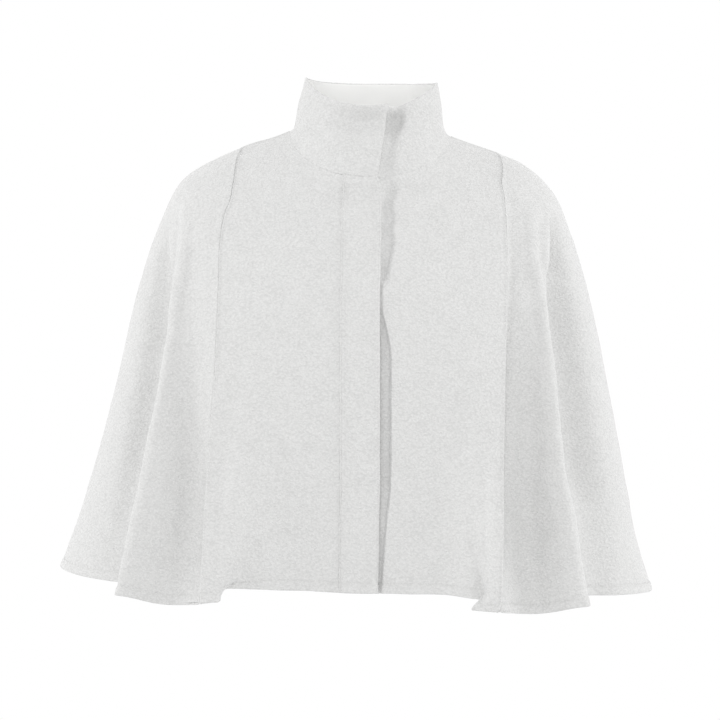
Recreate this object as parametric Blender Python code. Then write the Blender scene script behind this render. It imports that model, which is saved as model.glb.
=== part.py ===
"""Cape jacket with a funnel collar, worn shape with nobody in it.

Metres, +Z up, front facing -Y, the wearer's left at +X. The origin is the middle of the neck's base,
between the shoulders that carry the jacket.
"""

import bmesh
import bpy
import numpy as np

MM = 0.001
JACKET = "cape_jacket"

# Driving sizes in millimetres
WALL = 1.8
COLLAR_WALL = 2.4
PLACKET_WALL = 1.2
PLACKET_GAP = 0.3
SEAM_GAP = 0.6
UNDERLAP_X = -24

# The jacket is one smooth sheet that is read at two shares. "down" runs from the collar's rim, below 0,
# over the neck seam at 0 to the hem at 1. "round" runs on each side from 0 at the centre front over 0.5
# on the shoulder and over-arm line to 1 at the centre back.
# Each ring gives that sheet's reach in millimetres: x and z on the right and the left over-arm line,
# y and z at the centre front and back, how square its plan is, and how its height bends to the side.
RING_COLUMNS = (
    "down", "right_x", "right_z", "left_x", "left_z", "side_y",
    "front_y", "front_z", "back_y", "back_z", "square", "bend",
)
RINGS = (
    (-0.16, 69, 70, 77, 64, -8, -75, 29, 60, 71, 0.00, 1.30),
    (-0.11, 76, 46, 81, 42, -9, -78, 5, 59, 48, 0.00, 1.25),
    (-0.05, 81, 19, 84, 14, -10, -81, -24, 57, 20, 0.00, 1.15),
    (0.00, 87, 9, 92, 3, -10, -87, -49, 59, -4, 0.00, 1.10),
    (0.03, 105, 2, 108, -3, -8, -92, -62, 69, -16, 0.00, 1.15),
    (0.07, 127, -4, 132, -11, -6, -99, -80, 82, -33, 0.00, 1.20),
    (0.14, 168, -20, 171, -26, -2, -112, -109, 100, -66, 0.01, 1.35),
    (0.22, 206, -43, 205, -56, 2, -126, -143, 114, -104, 0.02, 1.50),
    (0.32, 232, -91, 229, -111, 4, -140, -186, 126, -154, 0.03, 1.60),
    (0.45, 257, -165, 250, -185, 4, -149, -244, 135, -219, 0.04, 1.60),
    (0.60, 277, -251, 268, -272, 3, -151, -311, 143, -295, 0.06, 1.60),
    (0.80, 307, -366, 290, -388, 2, -152, -401, 154, -397, 0.08, 1.60),
    (0.90, 324, -422, 301, -445, 2, -153, -445, 160, -448, 0.09, 1.60),
    (1.00, 345, -479, 319, -503, 2, -154, -490, 166, -500, 0.10, 1.60),
)

# Where the long seams leave the over-arm line and how they run down, as shares round
SEAM_DOWN = (0.09, 0.12, 0.15, 0.20, 0.30, 0.45, 0.65, 0.85, 1.00)
SEAMS = {
    ("right", "front"): (0.500, 0.380, 0.320, 0.277, 0.228, 0.190, 0.161, 0.137, 0.119),
    ("left", "front"): (0.500, 0.360, 0.310, 0.258, 0.211, 0.173, 0.138, 0.117, 0.099),
    ("right", "back"): (0.500, 0.612, 0.660, 0.705, 0.750, 0.780, 0.800, 0.813, 0.820),
    ("left", "back"): (0.500, 0.612, 0.660, 0.705, 0.750, 0.780, 0.800, 0.813, 0.820),
}
POINT = SEAM_DOWN[0]

# Folds start below the shoulders and deepen to the hem. Each row is a crest, a hollow or a flat stretch
# of the ring, in order round it: its place as a share round at four levels, then how far it moves the
# cloth forward and outward at the lower three and how far it lowers the hem.
FOLD_DOWN = (0.22, 0.40, 0.65, 1.00)
FOLD_EASE = 0.06
FOLD_COLUMNS = (
    "place_start", "place_chest", "place_waist", "place_hem", "forward_chest", "forward_waist",
    "forward_hem", "outward_chest", "outward_waist", "outward_hem", "drop_hem",
)
FOLDS = {
    "right": {
        "centre front": (0.000, 0.000, 0.000, 0.000, 0, 0, 0, 0, 0, 0, 0),
        "front flat": (0.060, 0.065, 0.065, 0.058, 0, 0, -8, 0, 0, 0, -3),
        "front hollow": (0.120, 0.100, 0.090, 0.090, 0, -2, -16, 0, 0, 0, -6),
        "front flute": (0.190, 0.150, 0.130, 0.108, 0, 5, 36, 0, 0, 4, 6),
        "front seam": (0.275, 0.205, 0.161, 0.119, 0, 7, 36, 0, 0, 0, 7),
        "side hollow": (0.330, 0.245, 0.190, 0.145, -3, -10, 0, 0, 0, 0, 12),
        "arm crest": (0.375, 0.295, 0.255, 0.198, 3, 9, 22, 0, -1, 1, 2),
        "arm hollow": (0.425, 0.333, 0.288, 0.245, -14, -30, -52, -12, -20, -54, 1),
        "over arm": (0.500, 0.500, 0.500, 0.500, 0, -4, -22, 0, 0, 2, -1),
        "back arm hollow": (0.620, 0.650, 0.680, 0.690, 5, 18, 40, -2, -8, -26, 0),
        "back arm crest": (0.680, 0.720, 0.750, 0.770, -2, -8, -24, 0, 0, -8, 3),
        "back hollow": (0.800, 0.840, 0.855, 0.860, 0, 6, 18, 0, 0, 0, -2),
        "back flute": (0.860, 0.900, 0.920, 0.930, 0, -4, -14, 0, 0, 0, 2),
        "centre back": (1.000, 1.000, 1.000, 1.000, 0, 2, 8, 0, 0, 0, 0),
    },
    "left": {
        "centre front": (0.000, 0.000, 0.000, 0.000, 0, 0, 0, 0, 0, 0, 0),
        "front flat": (0.060, 0.065, 0.060, 0.050, 0, 0, 6, 0, 0, 0, 0),
        "front foot": (0.110, 0.100, 0.085, 0.078, 0, 2, 17, 0, 0, 0, 4),
        "front flute": (0.180, 0.140, 0.115, 0.090, 0, 8, 44, 0, 0, -4, 13),
        "front seam": (0.240, 0.187, 0.138, 0.099, 0, 8, 40, 0, 0, 0, 15),
        "side hollow": (0.290, 0.225, 0.172, 0.130, -3, -10, 0, 0, 0, 0, 21),
        "arm crest": (0.344, 0.265, 0.224, 0.184, 3, 8, 12, 0, -1, -2, 12),
        "arm hollow": (0.395, 0.302, 0.255, 0.235, -15, -30, -54, -13, -18, -44, 8),
        "over arm": (0.500, 0.500, 0.500, 0.500, 0, -4, -14, 0, 0, 0, 0),
        "back arm hollow": (0.630, 0.660, 0.680, 0.690, 5, 16, 36, -2, -8, -26, 0),
        "back arm crest": (0.690, 0.730, 0.760, 0.775, -2, -8, -26, 0, 0, -6, 3),
        "back hollow": (0.800, 0.840, 0.860, 0.870, 0, 5, 16, 0, 0, 0, -2),
        "back flute": (0.860, 0.900, 0.930, 0.935, 0, -3, -12, 0, 0, 0, 2),
        "centre back": (1.000, 1.000, 1.000, 1.000, 0, 2, 8, 0, 0, 0, 0),
    },
}

# The right front laps over the left one. Down the front: where the upper edge and the placket's stitch
# line lie beside the centre, where the left cloth bends back behind them, how wide that bend is and how
# deep the tucked cloth lies.
LAP_COLUMNS = ("down", "upper edge", "stitch line", "bend", "bend width", "depth")
LAPS = (
    (-0.16, 20, -27, 56, 34, 8),
    (-0.08, 15, -27, 48, 32, 7),
    (0.00, 10, -27, 36, 25, 6),
    (0.03, 15, -27, 31, 15, 6),
    (0.09, 14, -28, 28, 14, 6),
    (0.16, 14, -28, 27, 14, 6),
    (0.205, 13, -28, 22, 8, 7),
    (0.25, 13, -28, 18, 4, 9),
    (0.285, 12, -29, 15, 3, 10),
    (0.34, 12, -29, 15, 3, 10),
    (0.37, 12, -29, 18, 3, 11),
    (0.41, 12, -29, 22, 3, 12),
    (0.45, 12, -29, 24, 3, 12),
    (0.65, 12, -29, 24, 3, 12),
    (0.76, 12, -29, 23, 3, 12),
    (0.84, 11, -30, 19, 3, 11),
    (0.90, 11, -30, 17, 3, 11),
    (1.00, 10, -30, 14, 3, 9),
)

# Rows of points down the collar, whose last one stands just clear of the cape, and down the cape
COLLAR_ROWS = np.array((-0.16, -0.135, -0.11, -0.08, -0.05, -0.025, -0.001))
CAPE_ROWS = np.array(
    (0, 0.03, 0.06, 0.09, 0.10, 0.12, 0.15, 0.18, 0.22, 0.26, 0.30, 0.35, 0.40, 0.45)
    + (0.51, 0.57, 0.63, 0.69, 0.75, 0.80, 0.85, 0.90, 0.95, 1.0)
)

# The lines that the columns of each panel follow, and how many columns lie between one and the next
COLLAR_COLUMNS = 46
PLACKET_COLUMNS = 3
FRONTS = {
    "right": (("stitch line", "front flat", "front hollow", "front flute", "front seam"), (3, 3, 4, 4)),
    "left": (("bend", "front flat", "front foot", "front flute", "front seam"), (3, 3, 4, 4)),
}
GORES = {
    "front": (("front seam", "side hollow", "arm crest", "arm hollow", "over arm"), (4, 5, 5, 4)),
    "back": (("back seam", "back arm crest", "back arm hollow", "over arm"), (3, 5, 5)),
}
HALF_BACK = (("back seam", "back hollow", "back flute", "centre back"), (3, 4, 4))

CLOTH_COLOUR = (0.80, 0.80, 0.79, 1.0)
CLOTH_ROUGHNESS = 0.95
SHARP_ANGLE = np.radians(50)
MERGE_DISTANCE = 1e-7


def table(rows, columns):
    """The rows as arrays under their columns' names."""
    return dict(zip(columns, np.array(rows, float).T))


RING = table(RINGS, RING_COLUMNS)
LAP = table(LAPS, LAP_COLUMNS)


def through(places, values, at):
    """A smooth curve through values at places: cubic pieces that share a slope where they meet."""
    places = np.asarray(places, float)
    values = np.asarray(values, float)
    slopes = np.gradient(values, places)
    piece = np.clip(np.searchsorted(places, at) - 1, 0, len(places) - 2)
    span = places[piece + 1] - places[piece]
    share = np.clip((at - places[piece]) / span, 0, 1)
    rest = 1 - share
    return (
        values[piece] * rest**2 * (1 + 2 * share)
        + values[piece + 1] * share**2 * (1 + 2 * rest)
        + span * share * rest * (slopes[piece] * rest - slopes[piece + 1] * share)
    )


def ramp(low, high, at):
    """0 below low, 1 above high, and a soft step between."""
    share = np.clip((at - low) / (high - low), 0, 1)
    return share**2 * (3 - 2 * share)


def ring_size(column, down):
    return through(RING["down"], RING[column], down)


def lap_size(column, down):
    return np.interp(down, LAP["down"], LAP[column])


def fold_shift(side, around, down):
    """How far the folds move the cloth forward, outward and down: soft steps from each row to the next."""
    shift = np.zeros((3,) + np.broadcast(around, down).shape)
    last_place = None
    for row in FOLDS[side].values():
        fold = dict(zip(FOLD_COLUMNS, row))
        place = through(FOLD_DOWN, row[:4], down)
        forward = [fold[f"forward_{level}"] for level in ("chest", "waist", "hem")]
        outward = [fold[f"outward_{level}"] for level in ("chest", "waist", "hem")]
        size = np.stack(np.broadcast_arrays(
            through(FOLD_DOWN, [0] + forward, down),
            through(FOLD_DOWN, [0] + outward, down),
            through(FOLD_DOWN, [0, 0, 0, fold["drop_hem"]], down),
        ))
        if last_place is not None:
            shift = shift + (size - last_size) * ramp(last_place, place, around)
        last_place, last_size = place, size
    return shift * ramp(FOLD_DOWN[0], FOLD_DOWN[0] + FOLD_EASE, down)


def sheet_point(side, around, down):
    """The sheet's point in millimetres: a squared ellipse in plan, its height bent from front to side.

    The folds that cross the point then move it forward, outward and down, and the left front's edge is
    tucked back behind the right one.
    """
    sign = -1 if side == "right" else 1
    angle = np.pi * around
    square = ring_size("square", down)
    sine = (np.sin(angle) + square * np.sin(3 * angle)) / (1 - square)
    cosine = (np.cos(angle) - square * np.cos(3 * angle)) / (1 - square)
    front = cosine > 0
    side_y = ring_size("side_y", down)
    end_y = np.where(front, ring_size("front_y", down), ring_size("back_y", down))
    side_z = ring_size(f"{side}_z", down)
    end_z = np.where(front, ring_size("front_z", down), ring_size("back_z", down))
    outward = ring_size(f"{side}_x", down) * sine
    y = side_y + (end_y - side_y) * np.abs(cosine)
    z = side_z + (end_z - side_z) * np.abs(cosine) ** ring_size("bend", down)
    forward, wider, drop = fold_shift(side, around, down)
    x = sign * (outward + wider)
    if side == "left":
        bend = lap_size("bend", down)
        tucked = 1 - ramp(bend - lap_size("bend width", down), bend, x)
        y = y + lap_size("depth", down) * np.where(front, tucked, 0)
    return np.stack([x, y - forward, z - drop], axis=-1)


def sheet_normal(side, around, down, step=0.0005):
    """The sheet's outward direction, from the points just beside each one."""
    along_round = sheet_point(side, around + step, down) - sheet_point(side, around - step, down)
    along_down = sheet_point(side, around, down + step) - sheet_point(side, around, down - step)
    normal = np.cross(along_round, along_down) * (1 if side == "right" else -1)
    return normal / np.linalg.norm(normal, axis=-1, keepdims=True)


def place_at(side, x, down):
    """The share round at which the sheet lies x beside the centre front, near the centre."""
    square = ring_size("square", down)
    reach = ring_size(f"{side}_x", down) * (1 + 3 * square) / (1 - square)
    return np.arcsin((x if side == "left" else -x) / reach) / np.pi


def line_place(side, name, down):
    """The share round of a named line of the cloth: an edge of the lap, a seam or a fold."""
    if name in LAP:
        return place_at(side, lap_size(name, down), down)
    if name in ("front seam", "back seam"):
        face = name.removesuffix(" seam")
        return through(SEAM_DOWN, SEAMS[side, face], np.maximum(down, POINT))
    return through(FOLD_DOWN, FOLDS[side][name][:4], down)


def spread(side, down, names, counts):
    """Shares round on each row, in columns that run along the named lines and evenly between them.

    Above the folds the columns keep the spacing that they have where the folds start.
    """
    level = np.maximum(down, FOLD_DOWN[0])
    first, last = (line_place(side, name, down) for name in (names[0], names[-1]))
    lines = np.stack([line_place(side, name, level) for name in names])
    share = (lines - lines[0]) / (lines[-1] - lines[0])
    columns = [share[0]]
    for before, after, count in zip(share, share[1:], counts):
        columns += [before + (after - before) * step / count for step in range(1, count + 1)]
    return first[:, None] + (last - first)[:, None] * np.stack(columns, axis=1)


def cloth(stretches, down):
    """Points and outward directions of a piece, a row for each place down.

    Each of its stretches is a side and the shares round of its columns.
    """
    points, normals = [], []
    for side, around in stretches:
        rows = np.broadcast_to(down[:, None], around.shape)
        points.append(sheet_point(side, around, rows))
        normals.append(sheet_normal(side, around, rows))
    return np.concatenate(points, axis=1), np.concatenate(normals, axis=1)


def inward(edge, beside, normals):
    """Unit steps from an edge into the cloth, square to the edge, or none where the edge is one point."""
    across = np.cross(normals, np.gradient(edge, axis=0))
    across *= np.sign((across * (beside - edge)).sum())
    length = np.linalg.norm(across, axis=-1, keepdims=True)
    return np.divide(across, length, out=np.zeros_like(across), where=length > 0)


def drawn_in(points, normals, gap):
    """The piece with its four edges moved in by gap. From side to side the move fades over."""
    near = inward(points[:, 0], points[:, 1], normals[:, 0])[:, None]
    far = inward(points[:, -1], points[:, -2], normals[:, -1])[:, None]
    share = np.linspace(0, 1, points.shape[1])[None, :, None]
    shift = near * (1 - share) + far * share
    shift[0] += inward(points[0], points[1], normals[0])
    shift[-1] += inward(points[-1], points[-2], normals[-1])
    if np.ptp(points[0], axis=0).max() < gap:
        shift[0] = near[0] + far[0]
    return points + gap * shift


def material(name):
    made = bpy.data.materials.new(name)
    made.use_nodes = True
    shader = made.node_tree.nodes["Principled BSDF"]
    shader.inputs["Base Color"].default_value = CLOTH_COLOUR
    shader.inputs["Roughness"].default_value = CLOTH_ROUGHNESS
    shader.inputs["Metallic"].default_value = 0.0
    made.diffuse_color = CLOTH_COLOUR
    return made


def wall(name, outer, inner):
    """A closed solid between two grids of points, split into triangles the same way on both."""
    rows, columns = outer.shape[:2]
    index = np.arange(rows * columns).reshape(rows, columns)
    above, right = index[:-1, :-1].ravel(), index[:-1, 1:].ravel()
    below, across = index[1:, :-1].ravel(), index[1:, 1:].ravel()
    face = np.concatenate([np.stack([above, below, across], 1), np.stack([above, across, right], 1)])
    rim = np.concatenate([index[0, :], index[1:, -1], index[-1, -2::-1], index[-2:0:-1, 0]])
    ahead = np.roll(rim, -1)
    inside = rows * columns
    edge = np.concatenate([
        np.stack([rim, ahead, ahead + inside], 1),
        np.stack([rim, ahead + inside, rim + inside], 1),
    ])
    faces = np.concatenate([face, face[:, ::-1] + inside, edge])
    points = np.concatenate([outer.reshape(-1, 3), inner.reshape(-1, 3)]) * MM
    mesh = bpy.data.meshes.new(name)
    mesh.from_pydata(points.tolist(), [], faces.tolist())
    shape = bmesh.new()
    shape.from_mesh(mesh)
    bmesh.ops.remove_doubles(shape, verts=shape.verts, dist=MERGE_DISTANCE)
    bmesh.ops.recalc_face_normals(shape, faces=shape.faces)
    shape.to_mesh(mesh)
    shape.free()
    mesh.shade_smooth()
    mesh.set_sharp_from_angle(angle=SHARP_ANGLE)
    mesh.materials.append(material(f"{name}_crepe"))
    made = bpy.data.objects.new(name, mesh)
    made.parent = bpy.data.objects[JACKET]
    bpy.context.scene.collection.objects.link(made)


def panel(name, stretches, down, thickness=WALL):
    """A wall of cloth, a little short of its seams, whose outer points and directions are given back."""
    points, normals = cloth(stretches, down)
    points = drawn_in(points, normals, SEAM_GAP / 2)
    wall(name, points, points - normals * thickness)
    return points, normals


def make_collar():
    """One strip from its tucked left end round the back to its upper right end."""
    down = COLLAR_ROWS
    step = np.linspace(0, 1, COLLAR_COLUMNS // 2 + 1)
    tucked = place_at("left", UNDERLAP_X, down)[:, None]
    upper = line_place("right", "upper edge", down)[:, None]
    left = tucked + (1 - tucked) * step
    right = 1 + (upper - 1) * step
    panel("collar", (("left", left), ("right", right[:, 1:])), down, COLLAR_WALL)


def make_right_front():
    """The right front and, on its points moved out, the placket strip along its edge."""
    strip = spread("right", CAPE_ROWS, ("upper edge", "stitch line"), (PLACKET_COLUMNS,))
    rest = spread("right", CAPE_ROWS, *FRONTS["right"])
    around = np.concatenate([strip, rest[:, 1:]], axis=1)
    points, normals = panel("front_right", (("right", around),), CAPE_ROWS)
    out = normals[:, :PLACKET_COLUMNS + 1]
    under = points[:, :PLACKET_COLUMNS + 1] + out * PLACKET_GAP
    wall("placket", under + out * PLACKET_WALL, under)


def make_left_front():
    """The left front, whose edge bends back and runs on behind the right front."""
    bend = lap_size("bend", CAPE_ROWS)
    foot = bend - lap_size("bend width", CAPE_ROWS)
    edge = np.full_like(bend, UNDERLAP_X)
    columns = (edge, (edge + foot) / 2, foot, (foot + bend) / 2)
    lap = np.stack([place_at("left", x, CAPE_ROWS) for x in columns], axis=1)
    rest = spread("left", CAPE_ROWS, *FRONTS["left"])
    panel("front_left", (("left", np.concatenate([lap, rest], axis=1)),), CAPE_ROWS)


def make_gores(side):
    """The front and back gores of one side, from their point on the shoulder to the hem."""
    down = CAPE_ROWS[CAPE_ROWS >= POINT]
    for face, (names, counts) in GORES.items():
        panel(f"side_{face}_{side}", ((side, spread(side, down, names, counts)),), down)


def make_back():
    """The back in one piece, from its left seam over the centre to its right seam."""
    left = spread("left", CAPE_ROWS, *HALF_BACK)
    right = spread("right", CAPE_ROWS, *HALF_BACK)[:, ::-1]
    panel("back", (("left", left), ("right", right[:, 1:])), CAPE_ROWS)


for old in list(bpy.data.objects):
    bpy.data.objects.remove(old, do_unlink=True)
bpy.context.scene.collection.objects.link(bpy.data.objects.new(JACKET, None))
make_collar()
make_right_front()
make_left_front()
make_gores("right")
make_gores("left")
make_back()
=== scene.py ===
import bpy
import numpy as np
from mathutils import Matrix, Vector


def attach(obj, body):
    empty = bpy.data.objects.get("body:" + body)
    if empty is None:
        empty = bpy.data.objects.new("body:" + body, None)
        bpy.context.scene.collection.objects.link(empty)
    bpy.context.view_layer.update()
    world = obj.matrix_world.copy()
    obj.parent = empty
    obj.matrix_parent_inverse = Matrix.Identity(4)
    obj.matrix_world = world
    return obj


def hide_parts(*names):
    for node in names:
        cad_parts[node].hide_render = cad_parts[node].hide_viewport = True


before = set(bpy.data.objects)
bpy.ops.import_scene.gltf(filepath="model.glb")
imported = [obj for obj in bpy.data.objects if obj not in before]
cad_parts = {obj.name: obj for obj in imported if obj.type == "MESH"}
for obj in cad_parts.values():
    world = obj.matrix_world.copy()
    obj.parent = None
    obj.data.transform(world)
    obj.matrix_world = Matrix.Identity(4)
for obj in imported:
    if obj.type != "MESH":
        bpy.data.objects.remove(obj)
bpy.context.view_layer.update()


# The studio: a pale floor as far below the jacket as it would be below a standing wearer's shoulders, a
# white surround, a wide soft light in front and one on each side, and a narrow one down into the neck. The
# camera stands level with the middle of the jacket, 2.3 m in front of it: 720 pixels span 0.81 m.
FLOOR_Z = -1.35
CAMERA_AT = (-0.009, -2.3, -0.246)
LENS_MM = 102.7
SURROUND = 1.0
FRONT_LIGHT_W, SIDE_LIGHT_W, NECK_LIGHT_W = 9, 12, 5
LIGHT_SIZE, NECK_LIGHT_CONE = 1.0, 9

scene = bpy.context.scene
scene.view_settings.view_transform = "Standard"


def pale_floor():
    """A square of floor, matte and nearly white."""
    reach = 3.0
    mesh = bpy.data.meshes.new("floor")
    corners = [(reach * x, reach * y, FLOOR_Z) for x, y in ((-1, -1), (1, -1), (1, 1), (-1, 1))]
    mesh.from_pydata(corners, [], [(0, 1, 2, 3)])
    paint = bpy.data.materials.new("floor_paint")
    paint.use_nodes = True
    shader = paint.node_tree.nodes["Principled BSDF"]
    shader.inputs["Base Color"].default_value = (0.85, 0.85, 0.85, 1)
    shader.inputs["Roughness"].default_value = 0.9
    mesh.materials.append(paint)
    floor = bpy.data.objects.new("floor", mesh)
    scene.collection.objects.link(floor)
    return floor


def soft_light(name, at, aim, size, watts):
    """A round lamp that shines from one place towards another."""
    lamp = bpy.data.lights.new(name, "AREA")
    lamp.shape = "DISK"
    lamp.size = size
    lamp.energy = watts
    light = bpy.data.objects.new(name, lamp)
    light.location = at
    light.rotation_euler = (Vector(aim) - Vector(at)).to_track_quat("-Z", "Y").to_euler()
    scene.collection.objects.link(light)


pale_floor()
middle = (0, 0, -0.25)
soft_light("front_light", (0, -2.5, 0.5), middle, LIGHT_SIZE, FRONT_LIGHT_W)
soft_light("left_light", (-2.4, -0.4, 0.2), middle, LIGHT_SIZE, SIDE_LIGHT_W)
soft_light("right_light", (2.4, -0.4, 0.2), middle, LIGHT_SIZE, SIDE_LIGHT_W)
snoot = bpy.data.lights.new("neck_light", "SPOT")
snoot.energy = NECK_LIGHT_W
snoot.spot_size = np.radians(NECK_LIGHT_CONE)
snoot.spot_blend = 0.6
snoot.shadow_soft_size = 0.02
neck_light = bpy.data.objects.new("neck_light", snoot)
neck_light.location = (0, -0.25, 0.9)
aim = Vector((0, 0.05, 0.04)) - neck_light.location
neck_light.rotation_euler = aim.to_track_quat("-Z", "Y").to_euler()
scene.collection.objects.link(neck_light)
surround = bpy.data.worlds.new("surround")
surround.use_nodes = True
surround.node_tree.nodes["Background"].inputs["Color"].default_value = (1, 1, 1, 1)
surround.node_tree.nodes["Background"].inputs["Strength"].default_value = SURROUND
scene.world = surround
lens = bpy.data.cameras.new("camera")
lens.lens = LENS_MM
camera = bpy.data.objects.new("camera", lens)
camera.location = CAMERA_AT
camera.rotation_euler = (np.pi / 2, 0, 0)
scene.collection.objects.link(camera)
scene.camera = camera


# The fronts: wool-like crepe, cut wide and flared, that hangs from the shoulders in soft folds. Each front
# runs from the neck and the shoulder to the hem; the right one laps over the left. The cloth of the whole
# jacket is one smooth sheet, in millimetres, that every panel is read from, so that they meet at the seams.
MM = 0.001
CLOTH = 1.7
SEAM_GAP = 0.04

# How round a rim is: its reach as a share of half the wall, where it is sewn to the next piece or free
SEWN, FREE = 0.03, 1.0

# Where the left cloth's cut edge lies, tucked behind the right one
UNDERLAP_X = -24

# The sheet is read at two shares. "down" runs from the collar's rim, below 0, over the neck seam at 0 to
# the hem at 1; "round" runs on each side from 0 at the centre front over 0.5 on the shoulder and over-arm
# line to 1 at the centre back. Each ring gives the sheet's reach: x and z on the over-arm lines, y and z at
# the centres, how square its plan is, and how its height bends from the front to the side.
RING_COLUMNS = (
    "down", "right_x", "right_z", "left_x", "left_z", "side_y",
    "front_y", "front_z", "back_y", "back_z", "square", "bend",
)
RINGS = (
    (-0.16, 69, 70, 77, 64, -8, -75, 29, 60, 71, 0.00, 1.30),
    (-0.11, 76, 46, 81, 42, -9, -78, 5, 59, 48, 0.00, 1.25),
    (-0.05, 81, 19, 84, 14, -10, -81, -24, 57, 20, 0.00, 1.15),
    (0.00, 87, 9, 92, 3, -10, -87, -49, 59, -4, 0.00, 1.10),
    (0.03, 105, 2, 108, -3, -8, -92, -62, 69, -16, 0.00, 1.15),
    (0.07, 127, -4, 132, -11, -6, -99, -80, 82, -33, 0.00, 1.20),
    (0.14, 168, -20, 171, -26, -2, -112, -109, 100, -66, 0.01, 1.35),
    (0.22, 206, -43, 205, -56, 2, -126, -143, 114, -104, 0.02, 1.50),
    (0.32, 232, -91, 229, -111, 4, -140, -186, 126, -154, 0.03, 1.60),
    (0.45, 257, -165, 250, -185, 4, -149, -244, 135, -219, 0.04, 1.60),
    (0.60, 277, -251, 268, -272, 3, -151, -311, 143, -295, 0.06, 1.60),
    (0.80, 307, -366, 290, -388, 2, -152, -401, 154, -397, 0.08, 1.60),
    (0.90, 324, -422, 301, -445, 2, -153, -445, 160, -448, 0.09, 1.60),
    (1.00, 345, -479, 319, -503, 2, -154, -490, 166, -500, 0.10, 1.60),
)

# Where the long seams leave the over-arm line and how they run down, as shares round
SEAM_DOWN = (0.09, 0.12, 0.15, 0.20, 0.30, 0.45, 0.65, 0.85, 1.00)
SEAMS = {
    ("right", "front"): (0.500, 0.380, 0.320, 0.277, 0.228, 0.190, 0.161, 0.137, 0.119),
    ("left", "front"): (0.500, 0.360, 0.310, 0.258, 0.211, 0.173, 0.138, 0.117, 0.099),
}
for side in ("right", "left"):
    SEAMS[side, "back"] = (0.500, 0.612, 0.660, 0.705, 0.750, 0.780, 0.800, 0.813, 0.820)
POINT = SEAM_DOWN[0]

# Folds start below the shoulders and deepen to the hem. Each row is a crest, a hollow or a flat stretch
# of the ring, in order round it: its place as a share round at four levels, then how far it moves the
# cloth forward and outward at the lower three and how far it lowers the hem.
FOLD_DOWN = (0.22, 0.40, 0.65, 1.00)
FOLD_EASE = 0.06
FOLD_COLUMNS = (
    "place_start", "place_chest", "place_waist", "place_hem", "forward_chest", "forward_waist",
    "forward_hem", "outward_chest", "outward_waist", "outward_hem", "drop_hem",
)
FOLDS = {
    "right": {
        "centre front": (0.000, 0.000, 0.000, 0.000, 0, 0, 0, 0, 0, 0, 0),
        "front flat": (0.060, 0.065, 0.065, 0.058, 0, 0, -5, 0, 0, 0, -3),
        "front hollow": (0.120, 0.100, 0.090, 0.090, 0, -1, -8, 0, 0, 0, -5),
        "front flute": (0.190, 0.150, 0.130, 0.108, 0, 4, 29, 0, 0, 4, 6),
        "front seam": (0.275, 0.205, 0.161, 0.119, 0, 7, 32, 0, 0, 0, 7),
        "side hollow": (0.330, 0.245, 0.190, 0.145, -3, -10, 0, 0, 0, 0, 12),
        "arm crest": (0.375, 0.295, 0.255, 0.198, 3, 9, 22, 0, -1, 1, 2),
        "arm hollow": (0.425, 0.333, 0.288, 0.245, -14, -30, -52, -12, -20, -54, 1),
        "over arm": (0.500, 0.500, 0.500, 0.500, 0, -4, -22, 0, 0, 2, -1),
        "back arm hollow": (0.620, 0.650, 0.680, 0.690, 5, 18, 40, -2, -8, -26, 0),
        "back arm crest": (0.680, 0.720, 0.750, 0.770, -2, -8, -24, 0, 0, -8, 3),
        "back hollow": (0.800, 0.840, 0.855, 0.860, 0, 6, 18, 0, 0, 0, -2),
        "back flute": (0.860, 0.900, 0.920, 0.930, 0, -4, -14, 0, 0, 0, 2),
        "centre back": (1.000, 1.000, 1.000, 1.000, 0, 2, 8, 0, 0, 0, 0),
    },
    "left": {
        "centre front": (0.000, 0.000, 0.000, 0.000, 0, 0, 0, 0, 0, 0, 0),
        "front flat": (0.060, 0.065, 0.060, 0.050, 0, 0, 6, 0, 0, 0, 0),
        "front foot": (0.110, 0.100, 0.085, 0.086, 0, 2, 19, 0, 0, 0, 4),
        "front flute": (0.180, 0.140, 0.115, 0.093, 0, 8, 36, 0, 0, -4, 13),
        "front seam": (0.240, 0.187, 0.138, 0.099, 0, 8, 35, 0, 0, 0, 15),
        "side hollow": (0.290, 0.225, 0.172, 0.130, -3, -10, 0, 0, 0, 0, 21),
        "arm crest": (0.344, 0.265, 0.224, 0.184, 3, 8, 12, 0, -1, -2, 12),
        "arm hollow": (0.395, 0.302, 0.255, 0.235, -15, -30, -54, -13, -18, -44, 8),
        "over arm": (0.500, 0.500, 0.500, 0.500, 0, -4, -14, 0, 0, 0, 0),
        "back arm hollow": (0.630, 0.660, 0.680, 0.690, 5, 16, 36, -2, -8, -26, 0),
        "back arm crest": (0.690, 0.730, 0.760, 0.775, -2, -8, -26, 0, 0, -6, 3),
        "back hollow": (0.800, 0.840, 0.860, 0.870, 0, 5, 16, 0, 0, 0, -2),
        "back flute": (0.860, 0.900, 0.930, 0.935, 0, -3, -12, 0, 0, 0, 2),
        "centre back": (1.000, 1.000, 1.000, 1.000, 0, 2, 8, 0, 0, 0, 0),
    },
}

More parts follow.
